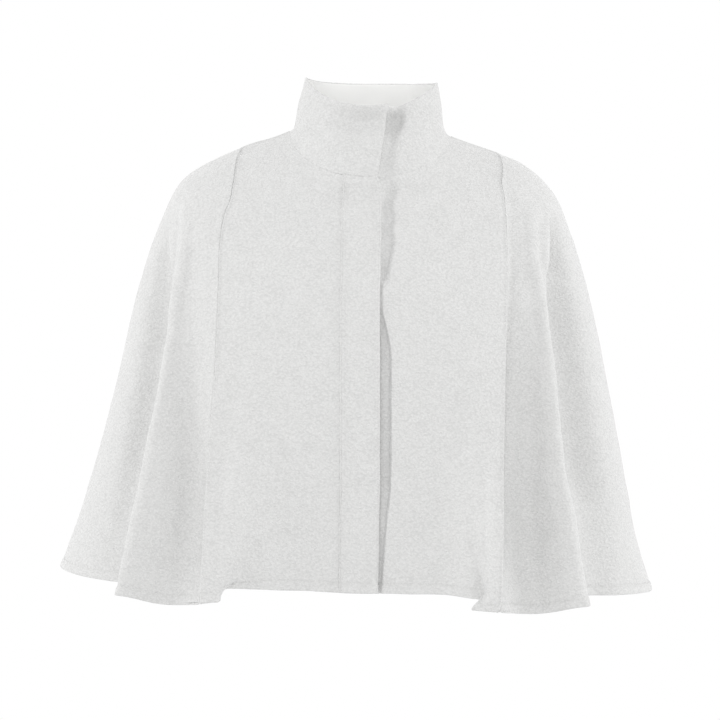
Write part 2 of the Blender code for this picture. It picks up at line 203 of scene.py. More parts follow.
# Down the front: where the upper edge and the placket's stitch line lie beside the centre, where the left
# cloth bends back behind them, how wide that bend is and how deep the tucked cloth lies.
LAP_COLUMNS = ("down", "upper edge", "stitch line", "bend", "bend width", "depth")
LAPS = (
    (-0.16, 23, -27, 56, 34, 8),
    (-0.08, 16.5, -27, 48, 32, 7),
    (0.00, 10, -27, 36, 25, 6),
    (0.03, 15, -27, 31, 15, 6),
    (0.09, 14, -28, 28, 14, 6),
    (0.16, 14, -28, 27, 14, 6),
    (0.205, 13, -28, 22, 8, 7),
    (0.25, 13, -28, 18, 4, 9),
    (0.285, 12, -29, 15, 3, 10),
    (0.34, 12, -29, 15, 3, 10),
    (0.37, 12, -29, 18, 3, 11),
    (0.41, 12, -29, 22, 3, 12),
    (0.45, 12, -29, 24, 3, 12),
    (0.65, 12, -29, 24, 3, 12),
    (0.76, 12, -29, 23, 3, 12),
    (0.84, 11, -30, 19, 3, 11),
    (0.90, 11, -30, 17, 3, 11),
    (1.00, 10, -30, 14, 3, 9),
)

# The share of that depth at which the pressed underlap lies, near the neck and further down
PRESSED_DOWN = (-0.16, -0.04, 0.18, 0.25, 0.32, 0.40, 0.70, 0.84, 1.00)
PRESSED = (1.2, 0.3, 0.35, 0.25, 0.2, 0.45, 0.5, 0.33, 0.42)

# Creases and soft hollows that the wearer's arms and the cut leave, seen on the front. Each runs down
# through a few points: its height z and place x, how far it rises (a trough is negative) and its half
# widths towards the centre and away from it.
CREASES = {
    "right": {
        "hollow behind the arm crest": (
            (-100, -219, 0, 4, 5), (-116, -223, -5, 4, 5), (-138, -225, -9, 6, 7), (-159, -225, -12, 8, 10),
            (-181, -227, -14, 10, 12), (-213, -229, -16, 12, 13), (-246, -234, -16, 12, 14),
            (-289, -240, -18, 12, 15), (-333, -248, -16, 11, 15), (-376, -254, -11, 10, 15),
            (-420, -262, -7, 9, 14), (-463, -270, -3, 8, 14), (-506, -278, -2, 8, 14),
        ),
        "arm crest edge": (
            (-90, -198, 0, 6, 5), (-117, -199, 2.5, 8, 4), (-160, -204, 3.5, 9, 4), (-182, -208, 3.5, 9, 4),
            (-214, -212, 3.5, 9, 4), (-246, -216, 3.5, 9, 4), (-289, -225, 3.5, 9, 4), (-332, -232, 3.5, 9, 4),
            (-375, -238, 3.5, 9, 4), (-418, -246, 3.5, 9, 4), (-461, -254, 2.5, 8, 4), (-501, -263, 1.0, 6, 4),
        ),
        "outer arm ridge": (
            (-89, -214, 0, 5, 5), (-111, -216, 1.5, 5, 5), (-138, -215, 1.2, 5, 5), (-170, -214, 0, 5, 5),
        ),
        "hollow beside the seam": (
            (-225, -193, 0, 24, 13), (-257, -193, -1, 20, 12), (-289, -193, -2, 16, 12), (-332, -191, -1, 14, 12),
            (-374, -187, -2, 12, 13), (-417, -188, -4, 13, 13), (-460, -190, -6, 13, 13), (-503, -191, -4, 13, 13),
        ),
        "hollow under the collar": (
            (-55, -9, 0, 24, 24), (-62, -8, -4.5, 24, 26), (-73, -8, -2.5, 24, 26), (-86, -7, 0, 20, 20),
        ),
    },
    "left": {
        "hollow behind the arm crest": (
            (-81, 203, 0, 4, 4), (-100, 203, -8, 4, 6), (-116, 204, -13, 5, 8), (-138, 205, -16, 7, 10),
            (-159, 206, -18, 11, 13), (-181, 208, -24, 12, 16), (-213, 211, -26, 14, 20), (-246, 215, -26, 14, 21),
            (-289, 219, -26, 15, 22), (-333, 222, -24, 15, 23), (-376, 226, -20, 14, 24), (-420, 233, -9, 12, 26),
            (-463, 241, -7, 10, 20), (-506, 246, -9, 9, 12),
        ),
        "arm crest edge": (
            (-79, 178, 0, 6, 5), (-101, 179, 2.5, 8, 4), (-138, 179, 3.5, 9, 4), (-160, 183, 3.5, 9, 4),
            (-182, 187, 3.5, 9, 4), (-214, 192, 3.5, 9, 4), (-246, 195, 3.5, 9, 4), (-289, 201, 3.5, 9, 4),
            (-332, 205, 3.5, 9, 4), (-375, 210, 3.5, 9, 4), (-418, 215, 3.5, 9, 4), (-461, 222, 2.5, 8, 4),
            (-504, 228, 1.0, 6, 4),
        ),
        "outer arm ridge": (
            (-84, 197, 0, 5, 4), (-100, 196, 1.5, 5, 4), (-133, 195, 1.5, 5, 4), (-160, 196, 0, 5, 4),
        ),
        "hollow beside the seam": (
            (-128, 158, 0, 10, 16), (-182, 158, -1, 12, 14), (-214, 157, -2, 12, 16), (-246, 156, -3, 12, 14),
            (-289, 155, -3, 12, 14), (-332, 156, -3, 12, 14), (-374, 158, -5, 14, 16), (-417, 161, -7, 16, 18),
            (-460, 164, -9, 18, 18), (-503, 166, -10, 20, 18),
        ),
        "hollow under the collar": (
            (-53, 37, 0, 18, 16), (-61, 37, -4.5, 18, 18), (-70, 37, -2.5, 18, 18), (-84, 37, 0, 16, 16),
        ),
        "dip beside the collar's overlap": (
            (37, 28, -2, 9, 8), (29, 28, -4, 9, 8), (20, 28, -8, 9, 8), (12, 26, -7.5, 9, 8), (0, 22, -6, 9, 8),
            (-15, 19, -4.5, 9, 8), (-30, 17, -4.5, 9, 8), (-43, 16, -3.5, 9, 9), (-56, 16, 0, 9, 10),
        ),
        "soft hollow beyond that dip": (
            (37, 40, -4, 13, 20), (29, 40, -5, 13, 22), (15, 39, -7, 13, 22), (-10, 35, -4.5, 12, 20),
            (-30, 32, -2, 12, 16), (-45, 32, 0, 12, 14),
        ),
        "shadowed fold beside the placket": (
            (-50, 24, 0, 7, 8), (-65, 22, -5, 7, 6), (-80, 20, -4, 6, 5), (-92, 22, -5, 7, 5),
            (-107, 20, -4.5, 6, 5), (-121, 22, -5, 7, 5), (-136, 19, -4.5, 6, 5), (-150, 17, -4, 4, 4),
            (-167, 16, 0, 3, 3),
        ),
    },
}

# Where the hollows beside the folds are shallower on the front than the folds leave them: as above, but
# each brings the cloth straight forward, so that a steep fold beside it keeps its place
FILLINGS = {
    "right": {
        "side hollow": (
            (-268, -216, 0, 16, 14), (-311, -213, 4, 18, 16), (-376, -210, 7, 18, 20), (-419, -208, 7, 18, 24),
            (-462, -208, 5, 18, 26), (-505, -212, 4, 20, 26),
        ),
        "front hollow": (
            (-298, -124, 0, 26, 20), (-372, -128, 6, 30, 20), (-424, -128, 9, 30, 20), (-461, -128, 9, 30, 20),
            (-497, -128, 5, 30, 20),
        ),
    },
    "left": {
        "side hollow": (
            (-214, 185, 0, 14, 14), (-268, 190, 5, 16, 16), (-311, 193, 6, 16, 16), (-365, 197, 6, 16, 16),
            (-419, 204, 6, 16, 16), (-462, 209, 5, 16, 16), (-505, 213, 4, 16, 16),
        ),
        "front hollow": (
            (-319, 115, 0, 20, 16), (-372, 112, 5, 20, 16), (-424, 110, 9, 20, 16), (-466, 110, 8, 20, 16),
            (-497, 110, 2, 20, 14),
        ),
    },
}

# Creases on the back, written as the front's are: the flare falls in softer folds between the shoulder
# blades and the hem
BACK_CREASES = {
    "right": {
        "fold beside the middle": (
            (-90, 34, 0, 16, 20), (-170, 40, 4, 18, 22), (-300, 48, 8.5, 20, 24), (-420, 57, 10, 22, 26),
            (-510, 63, 10, 22, 28),
        ),
        "hollow at the shoulder blade": (
            (-60, 88, 0, 22, 20), (-120, 92, -6, 26, 22), (-200, 96, -10, 24, 20), (-320, 104, -13.5, 22, 20),
            (-430, 112, -15.5, 24, 22), (-510, 118, -13.5, 26, 24),
        ),
        "fold beside the seam": (
            (-110, 134, 0, 14, 12), (-200, 140, 5, 16, 14), (-330, 146, 9.5, 18, 15), (-440, 152, 12, 20, 16),
            (-510, 157, 12, 20, 16),
        ),
        "fold behind the arm": (
            (-80, 205, 0, 12, 10), (-160, 214, 5, 14, 10), (-280, 226, 8.5, 16, 12), (-400, 240, 10, 18, 14),
            (-500, 252, 10, 20, 16),
        ),
        "pull to the shoulder": (
            (-18, 150, 0, 10, 12), (-50, 160, 3, 11, 12), (-95, 172, -4, 13, 14), (-150, 182, 0, 12, 12),
        ),
    },
    "left": {
        "fold beside the middle": (
            (-130, 26, 0, 16, 18), (-220, 30, 3.5, 18, 20), (-330, 36, 7.5, 20, 22), (-430, 40, 10, 22, 24),
            (-510, 44, 10, 22, 26),
        ),
        "hollow at the shoulder blade": (
            (-70, 80, 0, 22, 20), (-140, 84, -5, 24, 22), (-230, 86, -9.5, 22, 20), (-340, 92, -13, 22, 20),
            (-440, 98, -15.5, 22, 22), (-510, 102, -15.5, 24, 24),
        ),
        "fold beside the seam": (
            (-120, 128, 0, 14, 12), (-210, 132, 6, 16, 14), (-330, 138, 10, 18, 16), (-440, 144, 12, 20, 18),
            (-510, 148, 10, 20, 18),
        ),
        "fold behind the arm": (
            (-100, 202, 0, 12, 10), (-190, 212, 6, 14, 10), (-300, 222, 8.5, 16, 12), (-410, 234, 10, 18, 14),
            (-510, 244, 8.5, 20, 16),
        ),
        "pull to the shoulder": (
            (-26, 148, 0, 10, 12), (-60, 156, 3, 11, 12), (-105, 166, -4, 13, 14), (-160, 176, 0, 12, 12),
        ),
    },
}

# Close to the hem the deepest folds of the fronts swing over to one side, past the cloth behind them: the
# place round, how far it moves outward and over which share round
SWING_DOWN = 0.972
SWINGS = {
    "right": ((0.089, 12, 0.010), (0.108, -9, 0.006)),
    "left": ((0.093, -19, 0.0045),),
}


def table(rows, columns):
    """The rows as arrays under their columns' names."""
    return dict(zip(columns, np.array(rows, float).T))


RING = table(RINGS, RING_COLUMNS)
LAP = table(LAPS, LAP_COLUMNS)


def through(places, values, at):
    """A smooth curve through values at places: cubic pieces that share a slope where they meet."""
    places = np.asarray(places, float)
    values = np.asarray(values, float)
    slopes = np.gradient(values, places)
    piece = np.clip(np.searchsorted(places, at) - 1, 0, len(places) - 2)
    span = places[piece + 1] - places[piece]
    share = np.clip((at - places[piece]) / span, 0, 1)
    rest = 1 - share
    return (
        values[piece] * rest**2 * (1 + 2 * share)
        + values[piece + 1] * share**2 * (1 + 2 * rest)
        + span * share * rest * (slopes[piece] * rest - slopes[piece + 1] * share)
    )


def ramp(low, high, at):
    """0 below low, 1 above high, and a soft step between: 3 t squared less 2 t cubed."""
    share = np.clip((at - low) / (high - low), 0, 1)
    return share**2 * (3 - 2 * share)


def hump(at, middle, width):
    """A bell of height 1 at middle: e to the minus square of the distance in widths."""
    return np.exp(-(((at - middle) / width) ** 2))


def ring_size(column, down):
    """A column of the rings at levels down."""
    return through(RING["down"], RING[column], down)


def lap_size(column, down):
    """A column of the laps at levels down."""
    return np.interp(down, LAP["down"], LAP[column])


def fold_shift(side, around, down):
    """How far the folds move the cloth forward, outward and down: soft steps from each row to the next."""
    shift = np.zeros((3,) + np.broadcast(around, down).shape)
    last_place = None
    for row in FOLDS[side].values():
        fold = dict(zip(FOLD_COLUMNS, row))
        place = through(FOLD_DOWN, row[:4], down)
        forward = [fold[f"forward_{level}"] for level in ("chest", "waist", "hem")]
        outward = [fold[f"outward_{level}"] for level in ("chest", "waist", "hem")]
        size = np.stack(np.broadcast_arrays(
            through(FOLD_DOWN, [0] + forward, down),
            through(FOLD_DOWN, [0] + outward, down),
            through(FOLD_DOWN, [0, 0, 0, fold["drop_hem"]], down),
        ))
        if last_place is not None:
            shift = shift + (size - last_size) * ramp(last_place, place, around)
        last_place, last_size = place, size
    return shift * ramp(FOLD_DOWN[0], FOLD_DOWN[0] + FOLD_EASE, down)


def sheet_point(side, around, down):
    """The sheet's point in millimetres: a squared ellipse in plan, its height bent from front to side.

    Sine and cosine of the angle round are each mixed with a little of the triple angle, which squares
    the ellipse. The folds that cross the point then move it forward, outward and down, and the left
    front's edge is tucked back behind the right one.
    """
    sign = -1 if side == "right" else 1
    angle = np.pi * around
    square = ring_size("square", down)
    sine = (np.sin(angle) + square * np.sin(3 * angle)) / (1 - square)
    cosine = (np.cos(angle) - square * np.cos(3 * angle)) / (1 - square)
    front = cosine > 0
    side_y = ring_size("side_y", down)
    end_y = np.where(front, ring_size("front_y", down), ring_size("back_y", down))
    side_z = ring_size(f"{side}_z", down)
    end_z = np.where(front, ring_size("front_z", down), ring_size("back_z", down))
    outward = ring_size(f"{side}_x", down) * sine
    y = side_y + (end_y - side_y) * np.abs(cosine)
    z = side_z + (end_z - side_z) * np.abs(cosine) ** ring_size("bend", down)
    forward, wider, drop = fold_shift(side, around, down)
    x = sign * (outward + wider)
    if side == "left":
        bend = lap_size("bend", down)
        tucked = 1 - ramp(bend - lap_size("bend width", down), bend, x)
        depth = lap_size("depth", down) * np.interp(down, PRESSED_DOWN, PRESSED)
        y = y + depth * np.where(front, tucked, 0)
    return np.stack([x, y - forward, z - drop], axis=-1)


def sheet_normal(side, around, down, step=0.0005):
    """The sheet's outward direction: the cross product of the steps between the points beside each one."""
    along_round = sheet_point(side, around + step, down) - sheet_point(side, around - step, down)
    along_down = sheet_point(side, around, down + step) - sheet_point(side, around, down - step)
    normal = np.cross(along_round, along_down) * (1 if side == "right" else -1)
    return normal / np.linalg.norm(normal, axis=-1, keepdims=True)


def place_at(side, x, down):
    """The share round at which the sheet lies x beside the centre front, near the centre."""
    square = ring_size("square", down)
    reach = ring_size(f"{side}_x", down) * (1 + 3 * square) / (1 - square)
    return np.arcsin((x if side == "left" else -x) / reach) / np.pi


def line_place(side, name, down):
    """The share round of a named line of the cloth: an edge of the lap, a seam or a fold."""
    if name in LAP:
        return place_at(side, lap_size(name, down), down)
    if name in ("front seam", "back seam"):
        face = name.removesuffix(" seam")
        return through(SEAM_DOWN, SEAMS[side, face], np.maximum(down, POINT))
    return through(FOLD_DOWN, FOLDS[side][name][:4], down)


# Where the three more columns beside an edge lie, as shares of the first gap
CLOSE = np.array((0.15, 0.35, 0.65))


def spread(side, down, names, counts):
    """Shares round on each row, in columns that run along the named lines and evenly between them.

    The first and the last gap hold three columns more, for the narrow forms along an edge.
    """
    level = np.maximum(down, FOLD_DOWN[0])
    first, last = (line_place(side, name, down) for name in (names[0], names[-1]))
    lines = np.stack([line_place(side, name, level) for name in names])
    share = (lines - lines[0]) / (lines[-1] - lines[0])
    columns = [share[0]]
    for before, after, count in zip(share, share[1:], counts):
        columns += [before + (after - before) * step / count for step in range(1, count + 1)]
    columns = np.stack(columns, axis=1)
    start = columns[:, :1] + (columns[:, 1:2] - columns[:, :1]) * CLOSE
    end = columns[:, -1:] + (columns[:, -2:-1] - columns[:, -1:]) * CLOSE[::-1]
    columns = np.concatenate([columns[:, :1], start, columns[:, 1:-1], end, columns[:, -1:]], axis=1)
    return first[:, None] + (last - first)[:, None] * columns


# How many cells the uneven lattice has each way before it repeats
CELLS = 64


def mottle(across, along, cell, seed):
    """Uneven cloth between -1 and 1: seeded values on a lattice of cells, joined by soft steps."""
    lattice = np.random.default_rng(seed).uniform(-1, 1, (CELLS, CELLS))
    u, v = across / cell, along / cell
    column, row = np.floor(u).astype(int), np.floor(v).astype(int)
    du, dv = ramp(0, 1, u - column), ramp(0, 1, v - row)
    corner = [lattice[(row + i) % CELLS, (column + j) % CELLS] for i in (0, 1) for j in (0, 1)]
    above = corner[0] * (1 - du) + corner[1] * du
    below = corner[2] * (1 - du) + corner[3] * du
    return above * (1 - dv) + below * dv


def crease_rise(side, points, creases):
    """The sum of the side's creases: each its rise times e to the minus cube of the distance in widths."""
    sign = -1 if side == "right" else 1
    x, z = sign * points[..., 0], points[..., 2]
    rise = np.zeros_like(x)
    for rows in creases[side].values():
        height, place, lift, near, far = np.array(rows[::-1], float).T
        off = x - through(height, sign * place, z)
        width = np.where(off < 0, np.interp(z, height, near), np.interp(z, height, far))
        rise += through(height, lift, z) * np.exp(-(np.abs(off / width) ** 3))
    return rise


def hem_swing(side, around, down):
    """How far the folds lean over beside the hem: humps in the share round that grow over the last rows."""
    lean = sum(move * hump(around, place, width) for place, move, width in SWINGS[side])
    return (1 if side == "left" else -1) * lean * ramp(SWING_DOWN, 1.0, down)


def grid_normals(points, facing):
    """Directions square to a grid of points, turned to the side that facing points to."""
    normal = np.cross(np.gradient(points, axis=1), np.gradient(points, axis=0))
    normal *= np.sign((normal * facing).sum())
    length = np.linalg.norm(normal, axis=-1, keepdims=True)
    return np.where(length > 1e-6, normal / np.maximum(length, 1e-6), facing)


def lengths(points, axis):
    """How far each point lies along its line of points, in millimetres."""
    step = np.linalg.norm(np.diff(points, axis=axis), axis=-1)
    return np.insert(np.cumsum(step, axis=axis), 0, 0, axis=axis)


def edge_steps(points, normals):
    """For the rim of a grid of points: unit steps out of the cloth, square to each edge."""
    def outward(edge, beside, up):
        across = np.cross(up, np.gradient(edge, axis=0))
        across *= -np.sign((across * (beside - edge)).sum())
        length = np.linalg.norm(across, axis=-1, keepdims=True)
        return np.divide(across, length, out=np.zeros_like(across), where=length > 0)
    return (
        outward(points[0], points[1], normals[0]),
        outward(points[-1], points[-2], normals[-1]),
        outward(points[:, 0], points[:, 1], normals[:, 0]),
        outward(points[:, -1], points[:, -2], normals[:, -1]),
    )


def new_material(name, inputs):
    """A material whose shader's inputs are set by name. Returns it and its shader."""
    made = bpy.data.materials.new(name)
    made.use_nodes = True
    shader = made.node_tree.nodes["Principled BSDF"]
    for key, value in inputs.items():
        shader.inputs[key].default_value = value
    return made, shader


def join(node, sources):
    """The node's named inputs joined to other nodes' outputs."""
    for key, source in sources.items():
        node.id_data.links.new(source, node.inputs[key])


def add_node(material, kind, inputs, sources):
    """A node of the kind, some of its inputs set and some joined to other nodes' outputs."""
    node = material.node_tree.nodes.new(f"ShaderNode{kind}")
    for key, value in inputs.items():
        node.inputs[key].default_value = value
    join(node, sources)
    return node


def add_shade(material, stops, source):
    """The colour that follows the source between two stops, each a position and a colour."""
    shade = add_node(material, "ValToRGB", {}, {"Fac": source})
    for element, (position, colour) in zip(shade.color_ramp.elements, stops):
        element.position, element.color = position, colour
    return shade.outputs["Color"]


def crepe_cloth(name="crepe"):
    """White crepe: pebbled cells pulled a little crosswise, with painted shade in their pits, and a soft nap.

    The height is one less the distance to the nearest cell point, where noise has bent the map, mixed
    with finer noise. Colour follows the height, darker in the pits as painted shade, and a slow cloud.
    """
    cloth, shader = new_material(name, {
        "Roughness": 0.92, "Specular IOR Level": 0.25, "Sheen Weight": 0.8, "Sheen Roughness": 0.4,
    })
    place = add_node(cloth, "TexCoord", {}, {}).outputs["Object"]
    bend = add_node(cloth, "TexNoise", {"Scale": 320, "Detail": 1}, {"Vector": place}).outputs["Color"]
    bent = add_node(cloth, "MixRGB", {"Fac": 0.0012}, {"Color1": place, "Color2": bend})
    bent.blend_type = "LINEAR_LIGHT"
    stretch = add_node(cloth, "Mapping", {"Scale": (400, 400, 520)}, {"Vector": bent.outputs["Color"]})
    pebbles = add_node(cloth, "TexVoronoi", {}, {"Vector": stretch.outputs["Vector"]})
    pebbles.feature = "SMOOTH_F1"
    pebbles.inputs["Scale"].default_value = 1
    pebbles.inputs["Smoothness"].default_value = 0.7
    grain = add_node(cloth, "TexNoise", {"Scale": 1100, "Detail": 2}, {"Vector": place}).outputs["Fac"]
    rise = add_node(
        cloth, "MapRange", {"From Min": 0.0, "From Max": 0.75, "To Min": 1.0, "To Max": 0.0},
        {"Value": pebbles.outputs["Distance"]},
    ).outputs["Result"]
    height = add_node(cloth, "MixRGB", {"Fac": 0.35}, {"Color1": rise, "Color2": grain}).outputs["Color"]
    bump = add_node(cloth, "Bump", {"Strength": 0.8, "Distance": 0.0012}, {"Height": height})
    # Painted shade: the low pits between the pebbles are coloured darker, as the shade that falls in them
    shade = add_shade(cloth, ((0.1, (0.585, 0.585, 0.58, 1)), (0.7, (0.695, 0.695, 0.69, 1))), height)
    cloud = add_node(cloth, "TexNoise", {"Scale": 60, "Detail": 3}, {"Vector": place}).outputs["Fac"]
    tint = add_node(cloth, "MixRGB", {"Fac": 0.12}, {"Color1": shade, "Color2": cloud})
    tint.blend_type = "SOFT_LIGHT"
    join(shader, {"Base Color": tint.outputs["Color"], "Normal": bump.outputs["Normal"]})
    return cloth


def smooth_side(name="smooth_side"):
    """The cloth's wrong side: lighter in part as painted light, flat and fine, with a low thread bump and faint
    sheen.
    """
    # The base colour is paler than the right side's: partly the smooth face's own tone, partly painted light that
    # brightens the inside of the collar where it lies in shade
    cloth, shader = new_material(name, {
        "Base Color": (0.84, 0.84, 0.83, 1), "Roughness": 0.6, "Sheen Weight": 0.2,
    })
    place = add_node(cloth, "TexCoord", {}, {}).outputs["Object"]
    threads = add_node(cloth, "TexNoise", {"Scale": 1200, "Detail": 2}, {"Vector": place}).outputs["Fac"]
    bump = add_node(cloth, "Bump", {"Strength": 0.3, "Distance": 0.0003}, {"Height": threads})
    join(shader, {"Normal": bump.outputs["Normal"]})
    return cloth


CREPE, WRONG_SIDE = crepe_cloth(), smooth_side()


def shell(name, outer, inner, normals, uv, edges):
    """A closed wall of quads between two grids of points, its rim rounded by a half ellipse of three rows.

    A rim point is the middle of the wall, plus the half thickness times the cosine along the wall's
    thickness and, out of the cloth, times the sine and the edge's share of roundness. The UV map is the
    piece laid flat, in metres, for a pattern that a cloth may carry.
    """
    rows, columns = outer.shape[:2]
    count = rows * columns
    index = np.arange(count).reshape(rows, columns)

    def ring(grid):
        return np.concatenate([grid[0, :-1], grid[:-1, -1], grid[-1, :0:-1], grid[:0:-1, 0]])

    steps = np.zeros_like(outer)
    top, bottom, first, last = edge_steps(outer, normals)
    steps[0] += edges[0] * top
    steps[-1] += edges[1] * bottom
    steps[:, 0] += edges[2] * first
    steps[:, -1] += edges[3] * last
    rim = ring(index)
    middle, half = (ring(outer) + ring(inner)) / 2, (ring(outer) - ring(inner)) / 2
    reach = np.linalg.norm(half, axis=-1, keepdims=True) * ring(steps)
    angles = np.pi * np.array((0.25, 0.5, 0.75))
    round_rows = [middle + half * np.cos(angle) + reach * np.sin(angle) for angle in angles]
    points = np.concatenate([outer.reshape(-1, 3), inner.reshape(-1, 3), *round_rows]) * MM
    a, b, c, d = index[:-1, :-1].ravel(), index[1:, :-1].ravel(), index[1:, 1:].ravel(), index[:-1, 1:].ravel()
    faces = [np.stack([a, b, c, d], 1), np.stack([d, c, b, a], 1) + count]
    bands = [rim] + [2 * count + len(rim) * step + np.arange(len(rim)) for step in range(3)] + [rim + count]
    for near, far in zip(bands, bands[1:]):
        faces.append(np.stack([near, np.roll(near, -1), np.roll(far, -1), far], 1))
    faces = np.concatenate(faces)
    mesh = bpy.data.meshes.new(name)
    mesh.vertices.add(len(points))
    mesh.vertices.foreach_set("co", points.ravel())
    mesh.loops.add(faces.size)
    mesh.loops.foreach_set("vertex_index", faces.ravel())
    mesh.polygons.add(len(faces))
    mesh.polygons.foreach_set("loop_start", np.arange(0, faces.size, 4))
    mesh.update(calc_edges=True)
    flat = uv.reshape(-1, 2) * MM
    spots = np.concatenate([flat, flat, *[ring(uv) * MM] * 3])
    mesh.uv_layers.new(name="cloth").data.foreach_set("uv", spots[faces.ravel()].ravel())
    mesh.validate()
    mesh.shade_smooth()
    mesh.materials.append(CREPE)
    mesh.materials.append(WRONG_SIDE)
    inside = np.zeros(len(faces), int)
    inside[len(a):2 * len(a)] = 1
    mesh.polygons.foreach_set("material_index", inside)
    made = bpy.data.objects.new(name, mesh)
    scene.collection.objects.link(made)
    return made


# How the outer face rises and falls: at a seam there is a groove, deeper on the shoulder and shallow at the
# neck, between low swellings where the two edges are turned in; a front's lip stands proud of its seam
# instead; and the hem is turned up once, stitched through and a little puckered
SEAM_DEPTH, SEAM_WIDTH = 0.6, 0.9
SHOULDER_SEAM = ((0.09, 0.20, 0.27, 0.36, 0.42), (1.2, 1.2, 0.4, 0.7, 0.4))
NECK_SEAM_SHARE = 0.25
LIP_LIFT, LIP_AT, LIP_WIDTH = 1.0, 1.3, 1.1
LEVEL_BESIDE_SEAM = 9.0
ALLOWANCE_LIFT, ALLOWANCE_WIDTH, ALLOWANCE_FADE = 0.35, 7.0, 5.0
HEM_WIDTH, HEM_FADE, HEM_LIFT, STITCH_DEPTH, STITCH_WIDTH = 9.0, (8.0, 11.0), 0.7, 1.1, 1.2
PUCKER, PUCKER_LENGTH = 0.35, 7.0

# How high the cloth swells unevenly and over what length, coarse and fine
SWELLS = ((0.35, 23), (0.2, 9))

# How near the over-arm line, as a share round, the creases fade; how far from the centre the easing of
# tight folds starts, over what width it grows and how often it is done
OVER_ARM, CREASES_FADE = 0.5, 0.05
LAP_REACH, LAP_FADE, EASINGS = 45, 15, 3

# How close to its first edge a panel that falls back behind a seam does so, and how far it stays back
FALL_START, FALL_REACH = 4, 21


def seam_lift(distance, deep=1):
    """A narrow groove at the seam and a low swelling over the allowance behind it."""
    allowance = ALLOWANCE_LIFT * (1 - ramp(ALLOWANCE_WIDTH, ALLOWANCE_WIDTH + ALLOWANCE_FADE, distance))
    return allowance - (SEAM_DEPTH * deep + ALLOWANCE_LIFT) * hump(distance, 0, SEAM_WIDTH)


def hem_lift(distance):
    """The doubled cloth of the turn-up, pulled in along its stitching."""
    turned = HEM_LIFT * (1 - ramp(*HEM_FADE, distance))
    return turned - STITCH_DEPTH * hump(distance, HEM_WIDTH, STITCH_WIDTH)


def eased(points, share):
    """Each row's points drawn towards their neighbours by a share, its ends kept, so that no fold loops."""
    for _ in range(EASINGS):
        drawn = (points[:, :-2] - 2 * points[:, 1:-1] + points[:, 2:]) / 4
        points = np.concatenate([points[:, :1], points[:, 1:-1] + share * drawn, points[:, -1:]], axis=1)
    return points


def read_sheet(stretches, down):
    """The creased sheet's points and outward directions, for sides and shares round, a row for each level."""
    points, normals = [], []
    for side, around in stretches:
        rows = np.broadcast_to(down[:, None], around.shape)
        point, normal = sheet_point(side, around, rows), sheet_normal(side, around, rows)
        ahead, aback = (ramp(0, CREASES_FADE, way * (around - OVER_ARM)) for way in (-1, 1))
        rise, filled = (crease_rise(side, point, creases) * ahead for creases in (CREASES, FILLINGS))
        rise = rise + crease_rise(side, point, BACK_CREASES) * aback
        point = point + normal * rise[..., None]
        point[..., 1] -= filled
        point[..., 0] += hem_swing(side, around, rows)
        points.append(point)
        normals.append(normal)
    points, normals = np.concatenate(points, axis=1), np.concatenate(normals, axis=1)
    beyond_lap = ramp(LAP_REACH, LAP_REACH + LAP_FADE, np.abs(points[:, 1:-1, :1]))
    points = eased(points, beyond_lap)
    return points, grid_normals(points, normals)


def drawn_in(points, normals, edges, thickness):
    """The panel with its edges moved in, so that their rounded rims end where the sheet's stretch does.

    A sewn edge also keeps half the seam's gap. From side to side the move fades over.
    """
    top, bottom, first, last = edge_steps(points, normals)
    move = [share * thickness / 2 + (SEAM_GAP / 2 if share == SEWN else 0) for share in edges]
    share = np.linspace(0, 1, points.shape[1])[None, :, None]
    shift = move[2] * first[:, None] * (1 - share) + move[3] * last[:, None] * share
    shift[0] += move[0] * top
    shift[-1] += move[1] * bottom
    if np.ptp(points[0], axis=0).max() < thickness:
        shift[0] = move[2] * (first[0] + last[0])
    return points - shift


def panel(name, stretches, down, edges=(SEWN, FREE, SEWN, SEWN), seed=1, behind=None, lip=False):
    """A panel of the cape: its points moved out by the seams' and the hem's lift and an uneven swelling.

    behind says how far the panel falls back beside its first edge, as depths at levels down. A lip is the
    last edge standing a little proud, where both allowances are pressed behind it. Returns the piece with
    its outer face and directions.
    """
    points, normals = read_sheet(stretches, down)
    points = drawn_in(points, normals, edges, CLOTH)
    if behind is not None:
        away = lengths(points, 1)
        fall = through(*behind, down)[:, None] * (1 - hump(away, 0, FALL_START)) * hump(away, 0, FALL_REACH)
        points = points - normals * fall[..., None]
        normals = grid_normals(points, normals)
    across, along = lengths(points, 1), lengths(points, 0)
    near, far = across, across[:, -1:] - across
    below = along[-1:] - along
    uneven = sum(size * mottle(across, along, cell, seed + step) for step, (size, cell) in enumerate(SWELLS))
    for edge, distance in zip(edges, (along, below, near, far)):
        if edge == SEWN:
            uneven = uneven * ramp(0, LEVEL_BESIDE_SEAM, distance)
    rise = uneven + hem_lift(below)
    rise = rise + PUCKER * mottle(across, 0 * along, PUCKER_LENGTH, seed + 2) * hump(below, HEM_WIDTH, HEM_WIDTH)
    for edge, distance, proud in zip(edges[2:], (near, far), (False, lip)):
        if edge == SEWN:
            deep = 0 if proud else np.interp(down, *SHOULDER_SEAM)[:, None]
            rise = rise + seam_lift(distance, deep)
    rise = rise + NECK_SEAM_SHARE * seam_lift(along) + lip * LIP_LIFT * hump(far, LIP_AT, LIP_WIDTH)
    outer = points + normals * rise[..., None]
    inner = points - normals * CLOTH
    uv = np.stack([across - across[:, -1:] / 2, -along], axis=-1)
    return shell(name, outer, inner, normals, uv, edges), outer, normals


def steps_down(start, step=0.005, edge_step=0.002, edge=0.034):
    """Levels down from start to the hem, a step apart, and closer at the top and over the hem's turn-up."""
    rows = int((1 - edge - start) / step)
    top = start + step * np.array((0, 0.1, 0.3, 0.6))
    turned = np.linspace(1 - edge, 1, int(edge / edge_step))
    return np.concatenate([top, np.linspace(start, 1 - edge, rows)[1:-1], turned])


